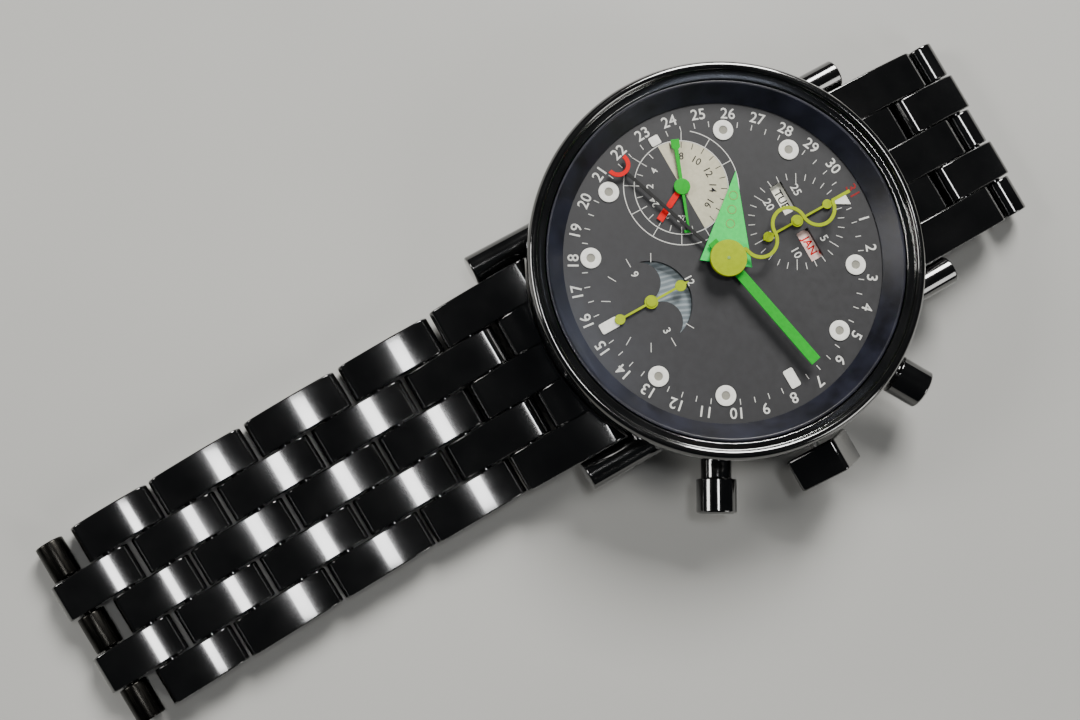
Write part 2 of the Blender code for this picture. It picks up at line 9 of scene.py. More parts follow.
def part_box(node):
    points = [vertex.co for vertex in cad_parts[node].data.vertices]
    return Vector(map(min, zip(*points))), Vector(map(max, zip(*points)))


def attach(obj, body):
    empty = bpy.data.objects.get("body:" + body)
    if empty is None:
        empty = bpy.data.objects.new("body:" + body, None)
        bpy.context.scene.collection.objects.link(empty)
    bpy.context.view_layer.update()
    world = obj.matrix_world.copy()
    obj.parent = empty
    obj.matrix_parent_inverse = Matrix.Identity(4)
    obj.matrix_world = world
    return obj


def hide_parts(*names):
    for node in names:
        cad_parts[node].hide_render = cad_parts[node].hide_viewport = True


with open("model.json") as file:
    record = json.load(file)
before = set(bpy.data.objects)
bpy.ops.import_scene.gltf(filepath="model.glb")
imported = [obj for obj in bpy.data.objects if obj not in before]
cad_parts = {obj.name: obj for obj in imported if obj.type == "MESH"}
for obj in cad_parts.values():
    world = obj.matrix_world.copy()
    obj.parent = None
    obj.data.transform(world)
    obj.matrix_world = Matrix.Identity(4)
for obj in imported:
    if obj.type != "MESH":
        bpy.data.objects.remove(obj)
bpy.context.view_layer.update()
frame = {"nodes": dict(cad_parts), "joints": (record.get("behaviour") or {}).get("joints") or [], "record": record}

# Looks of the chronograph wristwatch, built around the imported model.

MM = 0.001
ROUND = 192
SMALL_ROUND = 64
SHARP_ANGLE = math.radians(32)
SLOT_OF = {part["node"]: part["material_slot"] for part in frame["record"]["subparts"]}
JOINTS = {joint["name"]: joint for joint in frame["joints"]}

# Millimetres, as in the part.
DIAL_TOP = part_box("dial")[1].z / MM
DIAL_BOTTOM = 9.0
DIAL_RADIUS = 17.2
CUT_SPAN = (8, 10)
CASE_RADIUS = 18.9
LUG_RADIUS = 1.45
LUG_OFFSET = 11.5
LUG_HEIGHT = 4.9
LUG_START = 11.5
CONTROL_HEIGHT = 5.0
CROWN_WIDTH = 5.4
CROWN_TURN = 35
SUBDIAL = 8.3
WINDOW_OFFSET = 2.6
WINDOW_SIZE = (3.1, 1.35)
WINDOW_CARD = 8.97
PRINT = 0.02
HALF_PRINT = 0.012
THIN_PRINT = 0.01
FINE_LINE = 0.065
DATE_SIZE = 1.5
MARKER_RADIUS = 13.0
MARKER_HEIGHT = 0.12
COLUMN_PITCH = 4.0
PLATE_HALF = 1.92
LINK_END = 2.42
SHORT_END = 1.92
LINK_TOP = 1.45
LINK_BOTTOM = 1.5
LINK_CROWN = 0.35
LINK_EDGE = 0.16
FIRST_SHORT_PIN = 7
PIN_RADIUS = 0.65
PIN_OVERHANG = 1.2
PIN_EDGE = 0.1

# Hands: underside, thickness and the angle they show.
PIPE_BOTTOM = 8.45
HAND_LEVELS = {"thirty_minute_hand": 9.64, "twelve_hour_hand": 9.64, "day_night_hand": 9.6,
               "small_seconds_hand": 9.78, "date_hand": 10.02, "hour_hand": 10.35,
               "minute_hand": 10.72, "chronograph_seconds_hand": 11.08}
HAND_THICKNESS = {"day_night_hand": 0.1, "small_seconds_hand": 0.12, "date_hand": 0.12}
USUAL_THICKNESS = 0.15
HAND_ANGLES = {"day_night_hand": 153, "small_seconds_hand": 291.5, "date_hand": 251,
               "hour_hand": 306.6, "minute_hand": 78.6}
SECONDS_TIP = 13.9

# Metres, degrees and millimetres of lens.
CAMERA_PLACE = (0.0080, -0.04397, 0.15845)
CAMERA_TURN = (7.212, -6.257, 60.24)
CAMERA_LENS = 53.33
FLOOR_HALF = 1.5
WARM_WHITE = (1.0, 0.985, 0.95)
SKY = (0.80, 0.88, 1.0, 1)
SKY_STRENGTH = 0.03


# ---------------------------------------------------------------- materials

class Nodes:
    """Small helper that adds nodes to one material and joins them."""

    def __init__(self, name):
        self.material = bpy.data.materials.new(name)
        self.material.use_nodes = True
        self.tree = self.material.node_tree
        self.shader = self.tree.nodes["Principled BSDF"]

    def add(self, kind, **settings):
        node = self.tree.nodes.new("ShaderNode" + kind)
        for key, value in settings.items():
            if key in node.inputs:
                node.inputs[key].default_value = value
            else:
                setattr(node, key, value)
        return node

    def join(self, source, target):
        self.tree.links.new(source, target)

    def set(self, **values):
        for key, value in values.items():
            self.shader.inputs[key.replace("_", " ")].default_value = value

    def place(self):
        return self.add("TexCoord").outputs["Object"]

    def noise(self, scale, detail=4.0, stretch=None):
        node = self.add("TexNoise", Scale=scale, Detail=detail)
        source = self.place()
        if stretch:
            mapping = self.add("Mapping")
            mapping.inputs["Scale"].default_value = stretch
            self.join(source, mapping.inputs["Vector"])
            source = mapping.outputs["Vector"]
        self.join(source, node.inputs["Vector"])
        return node.outputs["Fac"]

    def ramp(self, factor, stops):
        node = self.add("ValToRGB")
        elements = node.color_ramp.elements
        while len(elements) < len(stops):
            elements.new(0.5)
        for element, (position, colour) in zip(elements, stops):
            element.position = position
            element.color = colour if len(colour) == 4 else (*colour, 1.0)
        self.join(factor, node.inputs["Fac"])
        return node.outputs["Color"]

    def span(self, factor, low, high):
        node = self.add("MapRange")
        node.inputs["To Min"].default_value = low
        node.inputs["To Max"].default_value = high
        self.join(factor, node.inputs["Value"])
        return node.outputs["Result"]

    def maths(self, operation, *values, clamp=False):
        node = self.add("Math", operation=operation, use_clamp=clamp)
        for socket, value in zip(node.inputs, values):
            if isinstance(value, float):
                socket.default_value = value
            else:
                self.join(value, socket)
        return node.outputs["Value"]

    def bump(self, height, strength, distance):
        node = self.add("Bump", Strength=strength, Distance=distance)
        self.join(height, node.inputs["Height"])
        self.join(node.outputs["Normal"], self.shader.inputs["Normal"])

    def colour(self, source):
        self.join(source, self.shader.inputs["Base Color"])

    def roughness(self, source):
        self.join(source, self.shader.inputs["Roughness"])


def grey(value):
    return (value, value, value)


def polished_black(name, low=0.07, high=0.2):
    """Black hard coating: mirror polish with faint smears."""
    m = Nodes(name)
    m.set(Metallic=0.0, IOR=1.6, Coat_Weight=1.0, Coat_Roughness=0.05, Coat_IOR=1.6)
    smear = m.noise(260, 5.0)
    m.colour(m.ramp(smear, ((0.3, grey(0.0016)), (0.75, grey(0.0034)))))
    m.roughness(m.span(smear, low, high))
    return m.material


def satin_black():
    """Flange coating: softer black of its own, with a faint bluish tint that is painted reflection."""
    m = Nodes("flange_black")
    m.set(Metallic=0.0, Specular_IOR_Level=0.3, Coat_Weight=0.15, Coat_Roughness=0.25)
    blue_reflection_mottle = m.noise(420, 6.0)
    # Painted reflection: the colour runs from near-black to a faint blue that stands for the glow reflected on the
    # flange.
    m.colour(m.ramp(blue_reflection_mottle, ((0.35, (0.003, 0.003, 0.006)), (0.7, (0.009, 0.010, 0.020)))))
    m.roughness(m.span(blue_reflection_mottle, 0.28, 0.5))
    return m.material


def lacquer(name, colour, rough=0.38):
    """Painted hand: even colour with slight grain and soft sheen."""
    m = Nodes(name)
    m.set(Metallic=0.0, Specular_IOR_Level=0.12)
    grain = m.noise(2400, 3.0)
    dark = tuple(c * 0.86 for c in colour)
    m.colour(m.ramp(grain, ((0.3, dark), (0.7, colour))))
    m.roughness(m.span(grain, rough - 0.06, rough + 0.1))
    m.bump(grain, 0.12, 0.00002)
    return m.material


def metal(name, colour, rough, stretch):
    """Bare metal with streaks drawn out along one axis."""
    m = Nodes(name)
    m.set(Metallic=1.0)
    streak = m.noise(900, 4.0, stretch)
    m.colour(m.ramp(streak, ((0.2, tuple(c * 0.75 for c in colour)), (0.8, colour))))
    m.roughness(m.span(streak, rough - 0.08, rough + 0.12))
    m.bump(streak, 0.15, 0.00002)
    return m.material


def dial_paint():
    """Matt dark grey with a fine mottled grain."""
    m = Nodes("dial_paint")
    m.set(Metallic=0.0)
    grain = m.noise(1500, 6.0)
    m.colour(m.ramp(grain, ((0.3, (0.005, 0.005, 0.0065)), (0.7, (0.012, 0.012, 0.0145)))))
    m.roughness(m.span(grain, 0.45, 0.65))
    m.bump(grain, 0.2, 0.00002)
    return m.material


def moon_paint():
    """Grey blue disc with curved pale stripes."""
    m = Nodes("moon_paint")
    m.set(Metallic=0.0)
    wave = m.add("TexWave", Scale=620.0, Distortion=1.5, Detail=1.0)
    wave.wave_type = "RINGS"
    wave.rings_direction = "Z"
    centre = m.add("Mapping")
    centre.inputs["Location"].default_value = (-0.009, 0.0083, 0.0)
    m.join(m.place(), centre.inputs["Vector"])
    m.join(centre.outputs["Vector"], wave.inputs["Vector"])
    m.colour(m.ramp(wave.outputs["Fac"], ((0.4, (0.12, 0.155, 0.175)), (0.95, (0.24, 0.28, 0.30)))))
    m.roughness(m.span(m.noise(800), 0.4, 0.6))
    return m.material


def rubber():
    """Dull black rubber."""
    m = Nodes("seal_rubber_look")
    grain = m.noise(1200)
    m.colour(m.ramp(grain, ((0.3, grey(0.012)), (0.7, grey(0.03)))))
    m.roughness(m.span(grain, 0.7, 0.9))
    m.bump(grain, 0.3, 0.00003)
    return m.material


def crystal_glass():
    """Clear crystal: its outer face mirrors more at grazing angles and carries faint scratches."""
    m = Nodes("crystal_glass")
    m.set(Metallic=1.0, Roughness=0.2)
    m.shader.inputs["Base Color"].default_value = (0.72, 0.80, 1.0, 1.0)
    clear = m.add("BsdfTransparent")
    mix = m.add("MixShader")
    fresnel = m.add("Fresnel", IOR=1.12).outputs["Fac"]
    scratch_steps = ((0.66, grey(0.0)), (0.72, grey(1.0)))
    lines_a = m.ramp(m.noise(130, 2.0, (1.0, 60.0, 1.0)), scratch_steps)
    lines_b = m.ramp(m.noise(150, 2.0, (50.0, 1.0, 1.0)), scratch_steps)
    patch = m.span(m.noise(90, 3.0), -0.6, 1.0)
    scratches = m.maths("MULTIPLY", m.maths("MAXIMUM", lines_a, lines_b), patch, clamp=True)
    mirror = m.maths("MULTIPLY_ADD", scratches, 0.015, fresnel, clamp=True)
    outer = m.maths("SUBTRACT", 1.0, m.add("NewGeometry").outputs["Backfacing"])
    m.join(m.maths("MULTIPLY", mirror, outer), mix.inputs["Fac"])
    m.join(clear.outputs["BSDF"], mix.inputs[1])
    m.join(m.shader.outputs["BSDF"], mix.inputs[2])
    m.join(mix.outputs["Shader"], m.tree.nodes["Material Output"].inputs["Surface"])
    return m.material


LOOKS = {
    "black_coating": polished_black("black_coating_look"),
    "flange_black": satin_black(),
    "dial_black": dial_paint(),
    "crystal": crystal_glass(),
    "green_lacquer": lacquer("green_paint", (0.004, 0.33, 0.018)),
    "pale_green": lacquer("pale_green_paint", (0.012, 0.60, 0.10)),
    "yellow_lacquer": lacquer("yellow_paint", (0.29, 0.37, 0.0), 0.55),
    "ring_print": lacquer("ring_paint", (0.20, 0.33, 0.09)),
    "red_lacquer": lacquer("red_paint", (0.60, 0.002, 0.004)),
    "dark_red": lacquer("dark_red_paint", (0.22, 0.02, 0.02)),
    "white_print": lacquer("white_paint", (0.60, 0.60, 0.575), 0.5),
    "marker_white": lacquer("marker_paint", (0.74, 0.74, 0.70), 0.45),
    "grey_print": lacquer("grey_paint", (0.24, 0.235, 0.20), 0.5),
    "cream_print": lacquer("cream_paint", (0.50, 0.47, 0.35), 0.5),
    "pink_print": lacquer("pink_paint", (0.85, 0.62, 0.56), 0.5),
    "day_card": lacquer("day_card_paint", (0.93, 0.92, 0.80), 0.5),
    "black_print": lacquer("black_paint", (0.02, 0.02, 0.02), 0.5),
    "moon_blue": moon_paint(),
    "steel": metal("steel_look", (0.55, 0.54, 0.52), 0.3, (1.0, 12.0, 1.0)),
    "dark_steel": metal("dark_steel_look", (0.022, 0.021, 0.019), 0.25, (1.0, 12.0, 1.0)),
    "brass": metal("brass_look", (0.72, 0.56, 0.30), 0.3, (12.0, 1.0, 1.0)),
    "seal_rubber": rubber(),
}


# ---------------------------------------------------------------- mesh helpers

def move(x=0.0, y=0.0, z=0.0):
    return Matrix.Translation((x, y, z))


def turn(degrees, axis="Z"):
    return Matrix.Rotation(math.radians(degrees), 4, axis)


def clockwise(degrees):
    return turn(-degrees)


def make_object(name, bm, look=None):
    """Turn a bmesh in millimetres into a smooth-shaded object in metres."""
    bmesh.ops.scale(bm, verts=bm.verts, vec=(MM, MM, MM))
    bmesh.ops.recalc_face_normals(bm, faces=bm.faces)
    mesh = bpy.data.meshes.new(name)
    bm.to_mesh(mesh)
    bm.free()
    mesh.shade_smooth()
    mesh.set_sharp_from_angle(angle=SHARP_ANGLE)
    obj = bpy.data.objects.new(name, mesh)
    bpy.context.scene.collection.objects.link(obj)
    if look:
        mesh.materials.append(LOOKS[look])
    return obj


def piece(name, bm, look, body, nodes=()):
    """A finished piece that rides on a body, takes one of the looks and may stand for CAD nodes."""
    obj = make_object(name, bm, look)
    settle(obj, body, nodes)
    return obj


def settle(obj, body, nodes=()):
    """Flatten the shading of broad faces, then hand the piece to its body and hide the CAD nodes it stands for."""
    weighted = obj.modifiers.new("weighted", "WEIGHTED_NORMAL")
    weighted.keep_sharp = True
    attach(obj, body)
    if nodes:
        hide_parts(*nodes)


def add_turned(bm, profile, matrix=Matrix(), sides=ROUND):
    """Revolve (radius, height) points about Z. A profile off the axis closes on itself."""
    rings = []
    for radius, height in profile:
        count = sides if radius else 1
        ring = []
        for i in range(count):
            angle = 2 * math.pi * i / sides
            point = Vector((radius * math.cos(angle), radius * math.sin(angle), height))
            ring.append(bm.verts.new(matrix @ point))
        rings.append(ring)
    pairs = list(zip(rings, rings[1:]))
    if profile[0][0] and profile[-1][0]:
        pairs.append((rings[-1], rings[0]))
    for low, high in pairs:
        for i in range(sides):
            j = (i + 1) % sides
            corners = [low[i % len(low)], low[j % len(low)], high[j % len(high)], high[i % len(high)]]
            unique = list(dict.fromkeys(corners))
            if len(unique) > 2:
                bm.faces.new(unique)


def rounded(profile, radius, steps=4, closed=True):
    """Round every corner of a profile off with a short curve."""
    points = []
    count = len(profile)
    for i, corner in enumerate(profile):
        if not closed and i in (0, count - 1) or corner[0] == 0:
            points.append(corner)
            continue
        here = Vector(corner)
        before = Vector(profile[i - 1]) - here
        after = Vector(profile[(i + 1) % count]) - here
        reach = min(radius, before.length * 0.45, after.length * 0.45)
        start = here + before.normalized() * reach
        end = here + after.normalized() * reach
        for k in range(steps + 1):
            t = k / steps
            point = start * (1 - t) ** 2 + here * 2 * t * (1 - t) + end * t ** 2
            points.append((max(point.x, 0.0), point.y))
    return points


def add_slab(bm, outline, low, high, matrix=Matrix(), edge=0.0, steps=3):
    """Prism with rounded rims: the outline shrinks towards its middle over the edge radius."""
    xs = [p[0] for p in outline]
    ys = [p[1] for p in outline]
    middle = Vector(((min(xs) + max(xs)) / 2, (min(ys) + max(ys)) / 2))
    half = Vector(((max(xs) - min(xs)) / 2, (max(ys) - min(ys)) / 2))
    if edge:
        bottom = [(low + edge * (1 - math.cos(math.pi / 2 * k / steps)),
                   edge * (1 - math.sin(math.pi / 2 * k / steps))) for k in range(steps + 1)]
        top = [(high + low - z, shrink) for z, shrink in reversed(bottom)]
        levels = bottom + top
    else:
        levels = [(low, 0.0), (high, 0.0)]
    rings = []
    for z, shrink in levels:
        scale = Vector((1 - shrink / half.x, 1 - shrink / half.y))
        ring = []
        for x, y in outline:
            point = Vector((middle.x + (x - middle.x) * scale.x, middle.y + (y - middle.y) * scale.y, z))
            ring.append(bm.verts.new(matrix @ point))
        rings.append(ring)
    count = len(outline)
    for lower, upper in zip(rings, rings[1:]):
        for i in range(count):
            j = (i + 1) % count
            bm.faces.new((lower[i], lower[j], upper[j], upper[i]))
    bm.faces.new(rings[0][::-1])
    bm.faces.new(rings[-1])


def add_cylinder(bm, radius, low, high, matrix=Matrix(), edge=0.0, sides=SMALL_ROUND):
    profile = ((0, low), (radius, low), (radius, high), (0, high))
    if edge:
        profile = rounded(profile, edge, closed=False)
    add_turned(bm, profile, matrix, sides)


def arc(centre, radius, start, end, steps):
    points = []
    for i in range(steps + 1):
        angle = math.radians(start + (end - start) * i / steps)
        points.append((centre[0] + radius * math.cos(angle), centre[1] + radius * math.sin(angle)))
    return points


def box_outline(width, height, corner=0.0, steps=4):
    if not corner:
        return [(-width / 2, -height / 2), (width / 2, -height / 2),
                (width / 2, height / 2), (-width / 2, height / 2)]
    points = []
    for sx, sy, start in ((1, 1, 0), (-1, 1, 90), (-1, -1, 180), (1, -1, 270)):
        centre = (sx * (width / 2 - corner), sy * (height / 2 - corner))
        points += arc(centre, corner, start, start + 90, steps)
    return points


def boolean(obj, tool, operation):
    """Apply a Boolean and remove its tool."""
    modifier = obj.modifiers.new(operation.lower(), "BOOLEAN")
    modifier.operation = operation
    modifier.object = tool
    modifier.solver = "EXACT"
    bpy.context.view_layer.update()
    evaluated = obj.evaluated_get(bpy.context.evaluated_depsgraph_get())
    mesh = bpy.data.meshes.new_from_object(evaluated)
    obj.modifiers.clear()
    obj.data = mesh
    bpy.data.objects.remove(tool, do_unlink=True)
    mesh.shade_smooth()
    mesh.set_sharp_from_angle(angle=SHARP_ANGLE)


def add_text(bm, words, size, matrix, bold=0.0, low=DIAL_TOP, high=DIAL_TOP + PRINT):
    """Flat lettering in the built-in font, centred on the matrix's origin."""
    curve = bpy.data.curves.new("words", "FONT")
    curve.body = words
    curve.size = size
    curve.offset = bold
    curve.align_x = "CENTER"
    curve.align_y = "CENTER"
    curve.resolution_u = 3
    curve.extrude = (high - low) / 2
    obj = bpy.data.objects.new("words", curve)
    bpy.context.scene.collection.objects.link(obj)
    bpy.context.view_layer.update()
    mesh = bpy.data.meshes.new_from_object(obj.evaluated_get(bpy.context.evaluated_depsgraph_get()))
    xs = [v.co.x for v in mesh.vertices]
    ys = [v.co.y for v in mesh.vertices]
    centre = Vector(((min(xs) + max(xs)) / 2, (min(ys) + max(ys)) / 2, 0))
    mesh.transform(matrix @ move(z=(low + high) / 2) @ Matrix.Translation(-centre))
    bm.from_mesh(mesh)
    bpy.data.objects.remove(obj, do_unlink=True)
    bpy.data.curves.remove(curve)
    bpy.data.meshes.remove(mesh)


def along_x(degrees=0.0):
    """Carries local Z onto the horizontal direction at this angle from +X."""
    return move(z=CONTROL_HEIGHT) @ turn(degrees) @ turn(90, "Y")


# ---------------------------------------------------------------- case

def case_profile():
    wall = [(17.2, 1.2), (18.3, 3.0), (CASE_RADIUS, 6.0), (CASE_RADIUS, 9.6), (18.6, 10.0),
            (18.6, 10.3), (17.65, 10.3), (17.65, 8.95), (15.1, 8.95), (15.1, 1.2)]
    return rounded(wall, 0.35)


def make_case():
    bm = bmesh.new()
    add_turned(bm, case_profile())
    case = make_object("case_shell", bm, "black_coating")
    bm = bmesh.new()
    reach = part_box("case_middle")[1].y / MM
    for x in (-LUG_OFFSET, LUG_OFFSET):
        for side in (-1, 1):
            place = move(x, 0, LUG_HEIGHT) @ turn(-side * 90, "X")
            add_cylinder(bm, LUG_RADIUS, LUG_START, reach, place, 0.22)
    boolean(case, make_object("lug_tool", bm), "UNION")
    settle(case, "head", ["case_middle"])


def make_shell():
    bm = bmesh.new()
    bezel = [(17.6, 10.36), (19.0, 10.36), (19.3, 10.62), (19.3, 11.62), (19.05, 12.0), (18.72, 12.08),
             (18.4, 11.95), (18.4, 11.3), (17.6, 11.3)]
    add_turned(bm, rounded(bezel, 0.18))
    piece("bezel_ring", bm, "black_coating", "head", ["bezel"])
    bm = bmesh.new()
    glass = [(0, 12.745), (4, 12.73), (8, 12.68), (12, 12.57), (15, 12.44), (17.5, 12.28), (18.3, 11.95),
             (18.3, 11.4), (17.4, 11.4), (17.2, 11.75), (0, 11.75)]
    add_turned(bm, rounded(glass, 0.25, closed=False))
    piece("domed_crystal", bm, "crystal", "head", ["crystal"])
    bm = bmesh.new()
    flange = [(15.65, 9.58), (17.5, 9.58), (17.5, 11.2), (17.25, 11.2)]
    add_turned(bm, rounded(flange, 0.08))
    piece("sloping_flange", bm, "flange_black", "head", ["dial_flange"])


def make_case_back():
    bm = bmesh.new()
    back = [(0, 0.0), (11.9, 0.0), (12.0, 0.12), (12.3, 0.12), (12.4, 0.0), (15.5, 0), (16.4, 0.5),
            (16.4, 1.1), (16.05, 1.1), (16.05, 0.65), (15.35, 0.65), (15.35, 1.1), (14.9, 1.1),
            (14.9, 2.0), (14.0, 2.0), (13.6, 1.4), (0, 1.4)]
    add_turned(bm, rounded(back, 0.08, closed=False))
    plate = make_object("case_back_plate", bm, "black_coating")
    bm = bmesh.new()
    for k in range(6):
        notch = box_outline(1.6, 2.2, 0.3)
        add_slab(bm, notch, -0.5, 0.3, turn(60 * k) @ move(15.1))
    boolean(plate, make_object("notch_tool", bm), "DIFFERENCE")
    settle(plate, "head", ["case_back"])


def make_controls():
    outline = box_outline(CROWN_WIDTH, CROWN_WIDTH, 0.5, 6)
    bm = bmesh.new()
    low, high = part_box("crown")[0].x / MM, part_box("crown")[1].x / MM
    add_slab(bm, outline, low, high, along_x() @ turn(CROWN_TURN), 0.28, 4)
    piece("crown_block", bm, "black_coating", "crown", ["crown"])
    for node, degrees in (("start_pusher", 31), ("reset_pusher", -30)):
        bm = bmesh.new()
        body = [(0, 14.6), (0.6, 14.6), (0.6, 17.9), (1.5, 17.9), (1.5, 20.7), (1.98, 20.7),
                (1.98, 23.95), (1.6, 24.14), (0, 24.2)]
        add_turned(bm, rounded(body, 0.14, closed=False), along_x(degrees), SMALL_ROUND)
        piece(node + "_cap", bm, "black_coating", node, [node])


# ---------------------------------------------------------------- dial

def moon_aperture():
    outline = arc((0, 0), 4.05, 14, 166, 40)
    outline += arc((-2.15, 0.1), 1.95, 150, 15, 20)
    outline += arc((2.15, 0.1), 1.95, 165, 30, 20)
    return outline


def add_ring(bm, inner, outer, low, high, matrix=Matrix(), sides=ROUND):
    add_turned(bm, ((inner, low), (outer, low), (outer, high), (inner, high)), matrix, sides)


def add_tick(bm, centre, angle, inner, outer, width):
    """Radial printed line at a clock angle about a centre."""
    line = box_outline(width, outer - inner)
    place = move(*centre) @ clockwise(angle) @ move(y=(inner + outer) / 2)
    add_slab(bm, line, DIAL_TOP, DIAL_TOP + PRINT, place)


def make_dial_plate():
    bm = bmesh.new()
    add_turned(bm, ((0, DIAL_BOTTOM), (DIAL_RADIUS, DIAL_BOTTOM), (DIAL_RADIUS, DIAL_TOP), (0, DIAL_TOP)))
    dial = make_object("dial_plate", bm, "dial_black")
    bm = bmesh.new()
    for side in (-1, 1):
        add_slab(bm, box_outline(*WINDOW_SIZE), *CUT_SPAN, move(side * WINDOW_OFFSET, SUBDIAL))
    add_slab(bm, moon_aperture(), *CUT_SPAN, move(y=-SUBDIAL))
    for x, y, radius in ((0, 0, 1.25), (0, SUBDIAL, 0.36), (0, -SUBDIAL, 0.36), (-SUBDIAL, 0, 0.62)):
        add_cylinder(bm, radius, *CUT_SPAN, move(x, y))
    boolean(dial, make_object("opening_tool", bm), "DIFFERENCE")
    settle(dial, "head", ["dial"])


def make_main_print():
    bm = bmesh.new()
    for day in range(1, 31):
        angle = day * 360 / 31
        place = clockwise(angle) @ move(y=14.7)
        add_text(bm, str(day), DATE_SIZE, place, 0.012)
    for minute in range(60):
        if minute % 15:
            add_tick(bm, (0, 0), minute * 6, 13.35, 13.9, 0.07)
    # Thirty-minute counter.
    for tick in range(30):
        long = tick % 5 == 0
        add_tick(bm, (0, SUBDIAL), tick * 12, 3.75 if long else 4.15, 4.8, FINE_LINE)
    for number in (5, 10, 15, 20, 25):
        angle = number * 12
        at = move(y=SUBDIAL) @ clockwise(angle) @ move(y=3.15) @ clockwise(-angle)
        add_text(bm, str(number), 1.15, at, 0.01)
    # Twelve-hour counter.
    for hour in range(12):
        if hour not in (0, 11, 1):
            add_tick(bm, (0, -SUBDIAL), hour * 30, 3.9, 4.8, FINE_LINE)
    for number in (3, 9, 12):
        angle = number * 30
        reach = 4.4 if number == 12 else 3.1
        at = move(y=-SUBDIAL) @ clockwise(angle) @ move(y=reach) @ clockwise(-angle)
        add_text(bm, str(number), 1.05, at, 0.01)
    # Day and night ring with the running seconds track.
    nine = move(-SUBDIAL)
    add_ring(bm, 4.58, 4.66, DIAL_TOP, DIAL_TOP + PRINT, nine)
    add_open_ring(bm, (-SUBDIAL, 0), 5.62, 5.70, 13.25)
    for second in range(0, 60, 5):
        if second != 45:
            add_tick(bm, (-SUBDIAL, 0), second * 6, 4.66, 5.62, FINE_LINE)
    for hour in range(24):
        if 90 < hour * 15 < 270:
            add_tick(bm, (-SUBDIAL, 0), hour * 15, 3.9, 4.5, FINE_LINE)
    for hour in (20, 22, 24, 2, 4):
        angle = (hour - 12) * 15
        at = nine @ clockwise(angle) @ move(y=3.1)
        add_text(bm, str(hour), 0.95, at, 0.01)
    piece("white_dial_print", bm, "white_print", "head")


def add_open_ring(bm, centre, inner, outer, limit):
    """Printed ring about a centre, left out where it would pass the limit radius of the dial."""
    run = []
    for i in range(361):
        angle = math.radians(i)
        x, y = centre[0] + outer * math.cos(angle), centre[1] + outer * math.sin(angle)
        if math.hypot(x, y) < limit:
            run.append(i)
        elif run:
            add_arc_band(bm, centre, inner, outer, run)
            run = []
    if run:
        add_arc_band(bm, centre, inner, outer, run)


def add_arc_band(bm, centre, inner, outer, run):
    if len(run) < 3:
        return
    outline = arc(centre, outer, run[0], run[-1], len(run))
    outline += arc(centre, inner, run[-1], run[0], len(run))
    add_slab(bm, outline, DIAL_TOP, DIAL_TOP + PRINT)


def make_day_half():
    """Pale half of the day and night ring, with dark ticks and numerals."""
    bm = bmesh.new()
    add_slab(bm, arc((0, 0), 4.56, 0, 180, 64), DIAL_TOP, DIAL_TOP + HALF_PRINT, move(-SUBDIAL))
    piece("day_half", bm, "cream_print", "head")
    bm = bmesh.new()
    low = DIAL_TOP + HALF_PRINT
    high = low + THIN_PRINT
    for hour in range(24):
        angle = (hour - 12) * 15
        if -90 < angle < 90:
            line = box_outline(0.08, 0.6)
            place = move(-SUBDIAL) @ clockwise(angle) @ move(y=4.2)
            add_slab(bm, line, low, high, place)
    for hour in (8, 10, 12, 14, 16):
        angle = (hour - 12) * 15
        add_text(bm, str(hour), 1.0, move(-SUBDIAL) @ clockwise(angle) @ move(y=3.1), 0.01, low, high)
    piece("day_half_print", bm, "black_print", "head")


def make_red_date():
    bm = bmesh.new()
    add_text(bm, "31", DATE_SIZE, move(y=14.85), 0.012)
    piece("red_last_date", bm, "dark_red", "head")


def make_markers():
    """Raised hour markers: ring dots, bars at 3, 6 and 9 and a triangle at 12."""
    white = bmesh.new()
    centres = bmesh.new()
    low = DIAL_TOP
    high = low + MARKER_HEIGHT
    for hour in (1, 2, 4, 5, 7, 8, 10, 11):
        place = clockwise(hour * 30) @ move(y=MARKER_RADIUS)
        ring = [(0.42, low), (1.0, low), (1.0, high), (0.42, high)]
        add_turned(white, rounded(ring, 0.05), place, 48)
        add_turned(centres, ((0, low), (0.42, low), (0.42, low + 0.05), (0, low + 0.02)), place, 48)
    bar = box_outline(1.05, 1.9, 0.18)
    for hour in (3, 6):
        add_slab(white, bar, low, high, clockwise(hour * 30) @ move(y=12.95), 0.04)
    short = box_outline(1.05, 0.95, 0.15)
    add_slab(white, short, low, high, clockwise(270) @ move(y=13.5), 0.04)
    triangle = [(0.0, -1.1), (1.15, 0.9), (-1.15, 0.9)]
    add_slab(white, rounded(triangle, 0.12), low, high, move(y=13.05), 0.04)
    piece("raised_markers", white, "marker_white", "head")
    piece("marker_centres", centres, "grey_print", "head")


def window_text(name, disc, words, node, body, look, text_look, x):
    """Calendar disc: names set like spokes so that one at a time shows in its window."""
    low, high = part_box(node)
    centre = (low + high) / 2 / MM
    radius = (high.x - low.x) / 2 / MM
    bm = bmesh.new()
    add_cylinder(bm, radius, low.z / MM, WINDOW_CARD, move(centre.x, centre.y), 0.03, 96)
    piece(disc, bm, look, body, [node])
    bm = bmesh.new()
    spoke = Vector((x - centre.x, SUBDIAL - centre.y))
    for i, word in enumerate(words):
        place = move(centre.x, centre.y) @ turn(-360 * i / len(words)) @ move(spoke.x, spoke.y)
        add_text(bm, word, 1.1, place, 0.02, WINDOW_CARD, WINDOW_CARD + THIN_PRINT)
    piece(name, bm, text_look, body)


